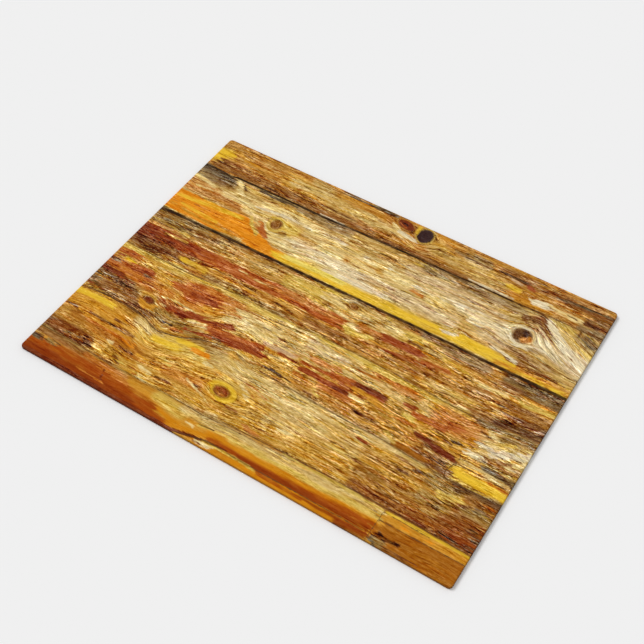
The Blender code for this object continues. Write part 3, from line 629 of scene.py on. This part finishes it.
def remap(values, old, new):
    """Move each value from one rising list of marks to another, evenly between the marks."""
    moved = np.zeros(len(values))
    for low, high, new_low, new_high in zip(old, old[1:], new, new[1:]):
        share = (values - low) / (high - low)
        moved = np.where(values >= low, new_low + share * (new_high - new_low), moved)
    return moved


def straighten(x, d):
    """Which log a place is on, and its depth with every joint drawn level."""
    depths = joint_depths(x)
    log = sum((d >= depth).astype(int) for depth in depths[2:-2])
    return log, remap(d, depths, joint_levels())


def knot_frame(x, d, knot):
    """A place in a knot's own tilted axes, and its squared distance in radii."""
    knot_x, knot_d, radius_x, radius_d, tilt = knot[:5]
    cosine, sine = math.cos(math.radians(tilt)), math.sin(math.radians(tilt))
    along = (x - knot_x) * cosine + (d - knot_d) * sine
    across = (d - knot_d) * cosine - (x - knot_x) * sine
    return along, across, (along / radius_x) ** 2 + (across / radius_d) ** 2


def bend_grain(x, d, log, u, v):
    """The grain dips at the second log's right end, flows round each knot and runs in rings inside it."""
    dip = np.maximum(x - DIP_START, 0) * (1 - smooth_step(*DIP_FADE, d))
    v = np.where(log == 1, v - DIP_SLOPE * dip, v)
    for knot in KNOTS:
        radius_x, radius_d, reach = knot[2], knot[3], knot[8]
        along, across, squared = knot_frame(x, d, knot)
        fade = 1 - smooth_step(0.3, 1, (np.sqrt(squared) - 1) * min(radius_x, radius_d) / reach)
        outside = squared > 1
        bent = v - fade * across / np.maximum(squared, 1)
        ringed = v - across + (np.sqrt(squared) - 1) * radius_d
        v = np.where(outside, bent, ringed)
        u = np.where(outside, u, np.arctan2(across, along) * radius_x * 2 + knot[0])
    return u, v


def blend(colours, grits, places, amount, name):
    """Lay a palette colour over some places."""
    amount = amount[:, None]
    colours[places] = colours[places] * (1 - amount) + palette_colour(name) * amount
    grits[places] = grits[places] * (1 - amount[:, 0]) + PALETTE[name][3] * amount[:, 0]


def paint_logs(colours, grits, log, u, v):
    """Each log's own colour, with slow changes of tone along the grain."""
    for index, name in enumerate(LOG_COLOURS):
        places = np.nonzero(log == index)[0]
        blend(colours, grits, places, np.ones(len(places)), name)
    tone = np.ones(len(u))
    for length, height, seed, share in LOG_TONES:
        tone += share * grain_noise(u, v, length, height, seed)
    colours *= tone[:, None]


def shade_joints(colours, grits, log, x, d):
    """The logs' round sides darken towards their joints, and each log has its own grit."""
    joints = joint_depths(x)[2:-2]
    for index, (above, above_share, below, below_share) in enumerate(JOINT_SHADES):
        depth = d - joints[index]
        width = np.where(depth < 0, above, below)
        share = np.where(depth < 0, above_share, below_share)
        colours *= (1 - share * np.exp(-((depth / width) ** 2)))[:, None] ** np.array([1, 1.15, 1.3])
    grits *= np.array(LOG_GRITS)[log]


def stroke_seed(points):
    """A seed of a stroke's own, from where it starts."""
    return int(1000 + 7 * points[0][0] + 13 * points[0][1])


def paint_washes(colours, grits, x, d, u, v):
    """Broad soft strokes under the patches."""
    for name, half_width, strength, *points in WASHES:
        places = near_line(x, d, points, half_width * WASH_REACH)
        distance = measure_line(x[places], d[places], points)[0]
        wander = grain_noise(u[places], v[places], length=30, height=4, seed=stroke_seed(points))
        distance += WASH_WANDER * wander
        start, end = (share * half_width for share in WASH_EDGE)
        amount = strength * (1 - smooth_step(start, end, distance))
        blend(colours, grits, places, amount, name)


def flatness(points):
    """1 for a line that runs along the grain, less for one that crosses it."""
    run = abs(points[-1][0] - points[0][0])
    return run / (run + 3 * abs(points[-1][1] - points[0][1]))


def paint_patches(colours, grits, x, d, u, v):
    """Ragged patches, with torn ends, whose cover is the share of their area that they fill."""
    tear_x = grain_noise(u, v, length=60, height=1.7, seed=21)
    tear_d = grain_noise(u, v, length=16, height=5, seed=22)
    for name, half_width, cover, *points in PATCHES:
        smooth = PALETTE[name][3] <= SMOOTH_GRIT
        rag = 0.55 * half_width if smooth else min(PATCH_RAG, 0.45 * half_width)
        torn_x = x + min(FIBRE_TEAR, 4 * half_width) * flatness(points) * tear_x
        torn_d = d + min(CROSS_TEAR, 0.7 * half_width) * tear_d
        places = near_line(torn_x, torn_d, points, half_width + rag + 2)
        distance = measure_line(torn_x[places], torn_d[places], points)[0]
        presence = np.clip((half_width - distance) / rag, -1.5, 1.2 * (cover - 0.5))
        unevenness = grain_noise(u[places], v[places], length=22, height=2.2, seed=stroke_seed(points))
        presence += PATCH_UNEVEN * unevenness
        edge = 0.8 if smooth else 0.15
        blend(colours, grits, places, smooth_step(-edge, edge, presence), name)


def paint_knots(colours, grits, x, d):
    """Each knot's heart and rim, with a dark line on both sides of the rim."""
    for knot in KNOTS:
        heart, rim, rim_width = knot[5:8]
        squared = knot_frame(x, d, knot)[2]
        places = np.nonzero(squared < 9)[0]
        wobble = 0.12 * grain_noise(x[places], d[places], length=6, height=6, seed=900 + int(knot[0]))
        reach = (np.sqrt(squared[places]) - 1 + wobble) * min(knot[2], knot[3])
        blend(colours, grits, places, 0.85 * (1 - smooth_step(0.7 * rim_width, 1.3 * rim_width, reach)), rim)
        for line in (0.2, 1.2 * rim_width):
            blend(colours, grits, places, 0.5 * np.exp(-(((reach - line) / 0.7) ** 2)), "umber")
        inside = 1 - smooth_step(-1.0, 0.2, reach)
        blend(colours, grits, places, inside, heart)
        grits[places] *= 1 - 0.5 * inside


def crack_places(x, d):
    """Each place's signed offset from the nearest crack, that crack's half width, and how black it is."""
    nearest = np.full(len(x), CRACK_REACH)
    cracks = np.zeros((len(x), 3))
    cracks[:, 1] = -1
    for half_width, *points in CRACKS:
        places = near_line(x, d, points, CRACK_REACH)
        distance, offset, overshoot = measure_line(x[places], d[places], points)
        closer = distance < nearest[places]
        places = places[closer]
        nearest[places] = distance[closer]
        cracks[places, 0] = offset[closer]
        cracks[places, 1] = half_width - 0.4 * overshoot[closer]
        cracks[places, 2] = smooth_step(0.4, 1.7, half_width)
    return cracks


def shade_rim(colours, grits, places):
    """Painted shade on the rolled rim: the colour darkens towards the foot of the rim, where the tufts turn
    down over the mat's edge, and the print loses its grain there.
    """
    height = places[:, 2] - (PILE_HIGH.z - PILE_ROLL)
    share = smooth_step(-0.3, 0.9, height / PILE_ROLL)
    colours *= (RIM_SHADE + (1 - RIM_SHADE) * share)[:, None]
    grits *= share


def paint_print(mesh):
    """Give the pile's points the print's colour, with painted shade on the rolled rim, and the print's grit,
    crack depth and grain.
    """
    places = np.empty(len(mesh.vertices) * 3)
    mesh.vertices.foreach_get("co", places)
    places = places.reshape(-1, 3)
    x = places[:, 0] / MM
    d = (HALF_WIDTH - places[:, 1]) / MM
    log, v = straighten(x, d)
    v = v + WAVE_HEIGHT * (lattice_noise(x / 70, v / 22, 31) + 0.4 * lattice_noise(x / 28, v / 12, 32))
    u, v = bend_grain(x, d, log, x, v)
    colours = np.zeros((len(x), 3))
    grits = np.zeros(len(x))
    paint_logs(colours, grits, log, u, v)
    paint_washes(colours, grits, x, d, u, v)
    paint_knots(colours, grits, x, d)
    paint_patches(colours, grits, x, d, u, v)
    shade_joints(colours, grits, log, x, d)
    # Painted shade: the colour darkens towards the foot of the rolled rim.
    shade_rim(colours, grits, places)
    rgba = np.column_stack([colours, np.ones(len(x))])
    grain = np.column_stack([u, v, np.zeros(len(x))]) * np.array(LOG_FINENESS)[log][:, None]
    store(mesh, "print_colour_with_rim_shade", "FLOAT_COLOR", "color", rgba)
    store(mesh, "grain", "FLOAT_VECTOR", "vector", grain)
    store(mesh, "grit", "FLOAT", "value", grits)
    store(mesh, "crack", "FLOAT_VECTOR", "vector", crack_places(x, d))


def store(mesh, name, kind, field, values):
    attribute = mesh.attributes.new(name, kind, "POINT")
    attribute.data.foreach_set(field, values.astype(np.float32).ravel())


# ---------------------------------------------------------------------------------------------
# Shapes

def row_levels():
    """Depths of the pile's rows before they bend with the joints, close together round the corners."""
    radius = (CORNER_RADIUS - PILE_ROLL) / MM
    straight = CORNER_RADIUS / MM
    angles = np.linspace(math.pi / 2, 0, CORNER_ROWS + 1)[:-1]
    corner = straight - radius * np.sin(angles)
    middle = np.linspace(straight, MAT_DEPTH - straight, ROWS - 2 * CORNER_ROWS)
    return np.concatenate([corner, middle, MAT_DEPTH - corner[::-1]])


def row_half_length(y):
    """Half the length of the pile's flat top at a row."""
    past = np.maximum(np.abs(y) - (HALF_WIDTH - CORNER_RADIUS), 0)
    radius = CORNER_RADIUS - PILE_ROLL
    return HALF_LENGTH - CORNER_RADIUS + np.sqrt(np.maximum(radius ** 2 - past ** 2, 0))


def pile_top():
    """The flat top as a grid of points whose rows follow the printed joints, slightly uneven like tufts."""
    level = row_levels()
    shares = np.linspace(-1, 1, COLUMNS)
    x = row_half_length(HALF_WIDTH - level * MM)[:, None] * shares[None, :]
    level = np.repeat(level, COLUMNS)
    depth = remap(level, joint_levels(), joint_depths(x.ravel() / MM))
    y = HALF_WIDTH - depth.reshape(ROWS, COLUMNS) * MM
    relief = TUFT_RELIEF * (lattice_noise(x / (4 * MM), y / (2.2 * MM), 5) - 1)
    return np.stack([x, y, PILE_HIGH.z + relief], axis=2)


def border_loop():
    """Indices of the grid's border, once round."""
    top = list(range(COLUMNS))
    right = [row * COLUMNS + COLUMNS - 1 for row in range(1, ROWS)]
    bottom = [(ROWS - 1) * COLUMNS + column for column in range(COLUMNS - 2, -1, -1)]
    left = [row * COLUMNS for row in range(ROWS - 2, 0, -1)]
    return top + right + bottom + left


def rim_ring(border, inset, z):
    """The border moved out until it is inset from the mat's outline."""
    core = np.column_stack([
        np.clip(border[:, 0], CORNER_RADIUS - HALF_LENGTH, HALF_LENGTH - CORNER_RADIUS),
        np.clip(border[:, 1], CORNER_RADIUS - HALF_WIDTH, HALF_WIDTH - CORNER_RADIUS),
    ])
    out = border[:, :2] - core
    out /= np.linalg.norm(out, axis=1)[:, None]
    ring = core + out * (CORNER_RADIUS - inset)
    return np.column_stack([ring, np.full(len(ring), z)])


def roll_height(inset):
    """Height of the rolled rim at a distance in from the outline."""
    return PILE_HIGH.z - PILE_ROLL + math.sqrt(PILE_ROLL ** 2 - (PILE_ROLL - inset) ** 2)


def printed_pile():
    """The printed pile: a fine grid on top, a rolled rim with hanging tufts, a flat underside."""
    top = pile_top().reshape(-1, 3)
    loop = border_loop()
    top[loop, 2] = PILE_HIGH.z
    rings = [rim_ring(top[loop], inset * MM, roll_height(inset * MM)) for inset in RIM_INSETS[1:]]
    rings.append(rim_ring(top[loop], 0, PILE_LOW.z))
    rings.append(rim_ring(top[loop], 0, FRINGE_LOW))
    rings.append(rim_ring(top[loop], FRINGE_WIDTH, FRINGE_LOW))
    rings.append(rim_ring(top[loop], FRINGE_WIDTH, PILE_LOW.z))
    faces = [
        (a, a + COLUMNS, a + COLUMNS + 1, a + 1)
        for row in range(ROWS - 1)
        for a in range(row * COLUMNS, row * COLUMNS + COLUMNS - 1)
    ]
    size = len(loop)
    inner = loop
    for number in range(len(rings)):
        outer = [len(top) + number * size + step for step in range(size)]
        faces += [(inner[s], inner[(s + 1) % size], outer[(s + 1) % size], outer[s]) for s in range(size)]
        inner = outer
    faces += underside(inner)
    mesh = bpy.data.meshes.new("printed_pile_tufts")
    mesh.from_pydata(np.concatenate([top] + rings), [], faces)
    mesh.shade_smooth()
    pile = bpy.data.objects.new("printed_pile_tufts", mesh)
    bpy.context.scene.collection.objects.link(pile)
    paint_print(mesh)
    mesh.materials.append(pile_material())
    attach(pile, "root")
    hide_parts("printed_pile")


def underside(ring):
    """Faces that close the underside, from one short side to the other."""
    left = [ring[-row] for row in range(ROWS)]
    right = ring[COLUMNS - 1:COLUMNS - 1 + ROWS]
    far = tuple(ring[:COLUMNS])
    near = tuple(ring[COLUMNS + ROWS - 2:2 * COLUMNS + ROWS - 2])
    strips = [(left[row], right[row], right[row + 1], left[row + 1]) for row in range(1, ROWS - 2)]
    return [far + (right[1], left[1])] + strips + [(left[-2], right[-2]) + near]


def turned_points(profile, sides):
    """Rings of points for a profile of (radius, z) turned about Z."""
    angles = np.arange(sides) * 2 * math.pi / sides
    return np.concatenate([
        np.column_stack([radius * np.cos(angles), radius * np.sin(angles), np.full(sides, z)])
        for radius, z in profile
    ])


def nub_centres():
    """Centres of the underside's grip nubs, in even rows."""
    xs = np.linspace(NUB_MARGIN - HALF_LENGTH, HALF_LENGTH - NUB_MARGIN, NUBS_ALONG)
    ys = np.linspace(NUB_MARGIN - HALF_WIDTH, HALF_WIDTH - NUB_MARGIN, NUBS_ACROSS)
    return [(x, y) for x in xs for y in ys]


def grip_nubs():
    """All the nubs as one mesh of separate closed domes."""
    dome = turned_points([(radius * MM, z * MM) for radius, z in NUB_PROFILE], NUB_SIDES)
    rings = len(NUB_PROFILE)
    points, faces = [], []
    for x, y in nub_centres():
        start = len(points) * len(dome)
        points.append(dome + np.array([x, y, RUBBER_LOW.z]))
        faces.append(tuple(range(start + NUB_SIDES - 1, start - 1, -1)))
        faces.append(tuple(range(start + (rings - 1) * NUB_SIDES, start + rings * NUB_SIDES)))
        for ring in range(rings - 1):
            for side in range(NUB_SIDES):
                a = start + ring * NUB_SIDES + side
                b = start + ring * NUB_SIDES + (side + 1) % NUB_SIDES
                faces.append((a, b, b + NUB_SIDES, a + NUB_SIDES))
    mesh = bpy.data.meshes.new("grip_nubs")
    mesh.from_pydata(np.concatenate(points), [], faces)
    return bpy.data.objects.new("grip_nubs", mesh)


def rubber_slab():
    """The rubber sheet with round corners and softened edges."""
    form = bmesh.new()
    low, high = RUBBER_LOW.z + NUB_HEIGHT, RUBBER_HIGH.z
    half_x, half_y = RUBBER_HIGH.x, RUBBER_HIGH.y
    radius = CORNER_RADIUS - (HALF_LENGTH - half_x)
    outline = []
    for quarter, (sign_x, sign_y) in enumerate([(1, 1), (-1, 1), (-1, -1), (1, -1)]):
        for step in range(CORNER_ROWS + 1):
            angle = (quarter + step / CORNER_ROWS) * math.pi / 2
            x = sign_x * (half_x - radius) + radius * math.cos(angle)
            y = sign_y * (half_y - radius) + radius * math.sin(angle)
            outline.append(form.verts.new((x, y, low)))
    base = form.faces.new(outline)
    lifted = bmesh.ops.extrude_face_region(form, geom=[base])["geom"]
    bmesh.ops.translate(form, vec=(0, 0, high - low),
                        verts=[item for item in lifted if isinstance(item, bmesh.types.BMVert)])
    bmesh.ops.recalc_face_normals(form, faces=form.faces)
    borders = [edge for edge in form.edges if abs(edge.verts[0].co.z - edge.verts[1].co.z) < 1e-6]
    bmesh.ops.bevel(form, geom=borders, offset=0.25 * MM, segments=2, affect="EDGES", profile=0.5)
    mesh = bpy.data.meshes.new("rubber_slab")
    form.to_mesh(mesh)
    form.free()
    return bpy.data.objects.new("rubber_slab", mesh)


def rubber_base():
    """The rubber sheet and its nubs joined into one moulded piece."""
    slab, nubs = rubber_slab(), grip_nubs()
    for part in (slab, nubs):
        bpy.context.scene.collection.objects.link(part)
    union = slab.modifiers.new("nubs", "BOOLEAN")
    union.operation = "UNION"
    union.solver = "MANIFOLD"
    union.object = nubs
    evaluated = slab.evaluated_get(bpy.context.evaluated_depsgraph_get())
    mesh = bpy.data.meshes.new_from_object(evaluated)
    for part in (slab, nubs):
        bpy.data.objects.remove(part)
    mesh.shade_smooth()
    mesh.set_sharp_from_angle(angle=math.radians(40))
    mesh.materials.clear()
    mesh.materials.append(rubber_material())
    base = bpy.data.objects.new("moulded_rubber", mesh)
    bpy.context.scene.collection.objects.link(base)
    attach(base, "root")
    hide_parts("rubber_base")


# ---------------------------------------------------------------------------------------------
# Materials

class Shader:
    """A material with a Principled shader, and short ways to add nodes to it."""

    def __init__(self, name, roughness, **settings):
        self.material = bpy.data.materials.new(name)
        self.material.use_nodes = True
        self.tree = self.material.node_tree
        self.principled = self.tree.nodes["Principled BSDF"]
        self.principled.inputs["Roughness"].default_value = roughness
        for socket, value in settings.items():
            self.principled.inputs[socket.replace("_", " ")].default_value = value

    def node(self, kind, *sources, **settings):
        """A node of a kind, with sources for its first sockets and settings for its fields."""
        node = self.tree.nodes.new("ShaderNode" + kind)
        for field, value in settings.items():
            setattr(node, field, value)
        for socket, source in zip(node.inputs, sources):
            self.feed(socket, source)
        return node

    def feed(self, socket, source):
        if isinstance(source, bpy.types.NodeSocket):
            self.tree.links.new(source, socket)
        elif source is not None:
            socket.default_value = source

    def attribute(self, name, output):
        return self.node("Attribute", attribute_name=name).outputs[output]

    def math(self, operation, *sources):
        return self.node("Math", *sources, operation=operation).outputs[0]

    def scaled(self, vector, size, offset=(0, 0, 0)):
        """A vector divided by a size in each direction, after an offset."""
        moved = self.node("VectorMath", vector, offset, operation="ADD").outputs[0]
        scale = tuple(1 / part for part in size)
        return self.node("VectorMath", moved, scale, operation="MULTIPLY").outputs[0]

    def noise(self, vector, size, offset=(0, 0, 0), detail=2, distortion=0.0):
        """Noise with features of a given size."""
        node = self.node("TexNoise", self.scaled(vector, size, offset), None, 1.0, detail)
        node.inputs["Distortion"].default_value = distortion
        return node.outputs[0]

    def smooth(self, value, low, high, to_low=0.0, to_high=1.0):
        """A smooth step between two values."""
        step = self.node("MapRange", value, low, high, to_low, to_high, interpolation_type="SMOOTHSTEP")
        return step.outputs[0]

    def mix(self, factor, first, second, kind="MIX"):
        node = self.tree.nodes.new("ShaderNodeMix")
        node.data_type = "RGBA"
        node.blend_type = kind
        self.feed(node.inputs[0], factor)
        self.feed(node.inputs[6], first)
        self.feed(node.inputs[7], second)
        return node.outputs[2]

    def finish(self, colour, height=None, depth=0.0):
        """Set the colour and, from a height between 0 and 1, a bump of a depth in metres."""
        self.feed(self.principled.inputs["Base Color"], colour)
        if height is not None:
            bump = self.tree.nodes.new("ShaderNodeBump")
            bump.inputs["Distance"].default_value = depth
            self.feed(bump.inputs["Height"], height)
            self.feed(self.principled.inputs["Normal"], bump.outputs[0])
        return self.material


def rgba(name):
    return (*palette_colour(name), 1.0)


def pile_material():
    """Printed polyester: fibres, flakes and crevices drawn along the grain on the base colour."""
    shader = Shader("printed_polyester_pile", 0.95, Specular_IOR_Level=0.06, Sheen_Weight=0.02)
    grain = shader.attribute("grain", "Vector")
    grit = shader.attribute("grit", "Fac")
    # The print's colour, which also holds the painted shade of the rolled rim.
    colour = shader.attribute("print_colour_with_rim_shade", "Color")
    place = shader.node("TexCoord").outputs["Object"]

    busy = shader.smooth(shader.noise(grain, (60, 13, 1), offset=(0, 40, 0)), 0.38, 0.62, 0.55, 1.25)
    grit = shader.math("MULTIPLY", grit, busy)
    streaks = [
        # size along and across the grain, where the streaks start, change of display colour
        (38, 3.4, 0.50, (-0.06, -0.12, -0.12)),
        (44, 3.2, 0.52, (0.04, 0.01, -0.09)),
        (24, 1.9, 0.55, (0.12, 0.17, 0.19)),
        (30, 1.6, 0.54, (-0.24, -0.24, -0.17)),
        (8, 1.2, 0.55, (0.17, 0.19, 0.18)),
        (9, 1.1, 0.55, (-0.24, -0.24, -0.17)),
    ]
    shown = shader.node("Gamma", colour, 1 / 2.2).outputs[0]
    for number, (length, height, start, change) in enumerate(streaks):
        offset = (190 * number, 0, 7 * number)
        streak = shader.noise(grain, (length, height, 1), offset, distortion=0.8)
        amount = shader.math("MULTIPLY", shader.smooth(streak, start, start + 0.09), grit)
        shown = shader.node("VectorMath", amount, change, shown, operation="MULTIPLY_ADD").outputs[0]

    rings = shader.math("PINGPONG", shader.noise(grain, (80, 9, 1), offset=(0, 90, 0), distortion=0.6), 0.04)
    lines = shader.smooth(rings, 0.0, 0.012, 1.0, 0.0)
    broad = shader.noise(grain, (40, 5, 1), distortion=0.5)
    medium = shader.noise(grain, (9, 1.6, 1), distortion=1.2)
    lit_side = shader.noise(grain, (9, 1.6, 1), offset=(0, 0.8, 0), distortion=1.2)
    fine = shader.noise(grain, (3.5, 0.9, 1), detail=2, distortion=1.0)
    tone = shader.math("MULTIPLY", shader.math("SUBTRACT", lit_side, medium), 0.6)
    tone = shader.math("MULTIPLY_ADD", shader.math("SUBTRACT", broad, 0.52), 0.7, tone)
    tone = shader.math("MULTIPLY_ADD", shader.math("SUBTRACT", medium, 0.5), 0.7, tone)
    tone = shader.math("MULTIPLY_ADD", shader.math("SUBTRACT", fine, 0.5), 0.6, tone)
    tone = shader.math("MULTIPLY_ADD", lines, -0.13, tone)
    tone = shader.math("ADD", tone, 0.05)
    tone = shader.math("MULTIPLY", tone, grit)
    shown = shader.node("VectorMath", shown, tone, operation="ADD").outputs[0]
    shown = shader.node("VectorMath", shown, (0.04, 0.03, 0.02), operation="MAXIMUM").outputs[0]
    colour = shader.node("Gamma", shown, 2.2).outputs[0]

    wander = shader.math("SUBTRACT", shader.noise(place, (6 * MM, 3 * MM, 1), offset=(2, 0, 0)), 0.5)
    crack = shader.node("SeparateXYZ", shader.attribute("crack", "Vector")).outputs
    depth = shader.math("SUBTRACT", crack[1], shader.math("ABSOLUTE", crack[0]))
    depth = shader.math("MULTIPLY_ADD", wander, 2.4, depth)
    fading = shader.smooth(shader.noise(place, (22 * MM, 22 * MM, 1), offset=(5, 0, 0)), 0.38, 0.6, 0.7, 1.0)
    amount = shader.math("MULTIPLY", shader.smooth(depth, -0.7, 0.6), fading)
    colour = shader.mix(amount, colour, shader.mix(crack[2], rgba("bark"), rgba("soot")))

    fibres = shader.noise(place, (0.6 * MM, 0.6 * MM, 0.6 * MM))
    speckle = shader.smooth(fibres, 0.3, 0.7, 0.93, 1.06)
    colour = shader.mix(1.0, colour, shader.node("CombineColor", speckle, speckle, speckle).outputs[0],
                        kind="MULTIPLY")
    return shader.finish(colour, fibres, 0.15 * MM)


def rubber_material():
    """Matt black rubber with a fine pebbled skin and a little dust."""
    shader = Shader("moulded_black_rubber", 0.62, Specular_IOR_Level=0.35)
    place = shader.node("TexCoord").outputs["Object"]
    pebbles = shader.node("TexVoronoi", shader.scaled(place, (1.1 * MM,) * 3), None, 1.0).outputs[0]
    dust = shader.noise(place, (40 * MM,) * 3, detail=4)
    colour = shader.mix(shader.smooth(dust, 0.35, 0.75), (0.016, 0.016, 0.017, 1), (0.034, 0.032, 0.030, 1))
    shader.feed(shader.principled.inputs["Roughness"], shader.smooth(dust, 0.3, 0.8, 0.52, 0.74))
    return shader.finish(colour, pebbles, 0.08 * MM)


def cloth_material():
    """Plain woven backing cloth: warp and weft threads of undyed polyester."""
    shader = Shader("woven_backing_cloth", 0.85, Sheen_Weight=0.1)
    place = shader.node("TexCoord").outputs["Object"]
    threads = shader.scaled(place, (1.2 * MM / math.tau, 1.2 * MM / math.tau, 1))
    across = shader.node("SeparateXYZ", threads)
    warp = shader.math("SINE", across.outputs[0])
    weft = shader.math("SINE", across.outputs[1])
    weave = shader.math("MULTIPLY_ADD", shader.math("MULTIPLY", warp, weft), 0.5, 0.5)
    slub = shader.noise(place, (3 * MM, 0.8 * MM, 1 * MM))
    tone = shader.math("MULTIPLY_ADD", slub, 0.4, shader.math("MULTIPLY", weave, 0.6))
    colour = shader.mix(tone, (0.30, 0.27, 0.22, 1), (0.62, 0.58, 0.50, 1))
    return shader.finish(colour, weave, 0.15 * MM)


def film_material():
    """Milky hot-melt film with a faint pressed ripple."""
    shader = Shader("hot_melt_film", 0.45)
    place = shader.node("TexCoord").outputs["Object"]
    ripple = shader.noise(place, (6 * MM,) * 3, detail=3)
    colour = shader.mix(ripple, (0.55, 0.54, 0.50, 1), (0.74, 0.73, 0.70, 1))
    return shader.finish(colour, ripple, 0.1 * MM)


def floor_material():
    """Plain pale floor."""
    return Shader("pale_floor", 0.9, Specular_IOR_Level=0.0).finish(FLOOR_COLOUR)


def finish_cad_nodes():
    """The cloth and the film keep their shapes and get their real finish."""
    for name, material in (("primary_backing", cloth_material()), ("bonding_film", film_material())):
        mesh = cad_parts[name].data
        mesh.materials.clear()
        mesh.materials.append(material)


# ---------------------------------------------------------------------------------------------
# Floor, light and camera

def make_floor():
    mesh = bpy.data.meshes.new("floor")
    half = FLOOR_SIZE / 2
    corners = [(-half, -half, 0), (half, -half, 0), (half, half, 0), (-half, half, 0)]
    mesh.from_pydata(corners, [], [(0, 1, 2, 3)])
    mesh.materials.append(floor_material())
    floor = bpy.data.objects.new("floor", mesh)
    bpy.context.scene.collection.objects.link(floor)


def make_light():
    """An even white sky and a soft sun from the left, together one unit of light on the floor."""
    world = bpy.data.worlds.new("sky")
    world.use_nodes = True
    world.node_tree.nodes["Background"].inputs["Color"].default_value = (1, 1, 1, 1)
    world.node_tree.nodes["Background"].inputs["Strength"].default_value = SKY_SHARE
    bpy.context.scene.world = world
    sun = bpy.data.lights.new("sun", "SUN")
    sun.energy = (1 - SKY_SHARE) * math.pi / math.sin(SUN_ELEVATION)
    sun.angle = SUN_ANGLE
    lamp = bpy.data.objects.new("sun", sun)
    toward = Vector((math.cos(SUN_AZIMUTH), math.sin(SUN_AZIMUTH), math.tan(SUN_ELEVATION)))
    lamp.rotation_euler = toward.to_track_quat("Z", "Y").to_euler()
    bpy.context.scene.collection.objects.link(lamp)


def make_camera():
    data = bpy.data.cameras.new("camera")
    data.sensor_width = 36
    data.lens = LENS
    camera = bpy.data.objects.new("camera", data)
    back = Vector((
        math.sin(CAMERA_AZIMUTH) * math.cos(CAMERA_ELEVATION),
        -math.cos(CAMERA_AZIMUTH) * math.cos(CAMERA_ELEVATION),
        math.sin(CAMERA_ELEVATION),
    ))
    right = Vector((0, 0, 1)).cross(back).normalized()
    up = back.cross(right)
    turned_right = right * math.cos(CAMERA_ROLL) + up * math.sin(CAMERA_ROLL)
    turned_up = up * math.cos(CAMERA_ROLL) - right * math.sin(CAMERA_ROLL)
    place = Matrix((turned_right, turned_up, back)).transposed().to_4x4()
    place.translation = Vector(CAMERA_TARGET) + back * CAMERA_DISTANCE
    camera.matrix_world = place
    bpy.context.scene.collection.objects.link(camera)
    bpy.context.scene.camera = camera


make_camera()
make_floor()
make_light()
printed_pile()
rubber_base()
finish_cad_nodes()
bpy.context.scene.view_settings.view_transform = "Standard"
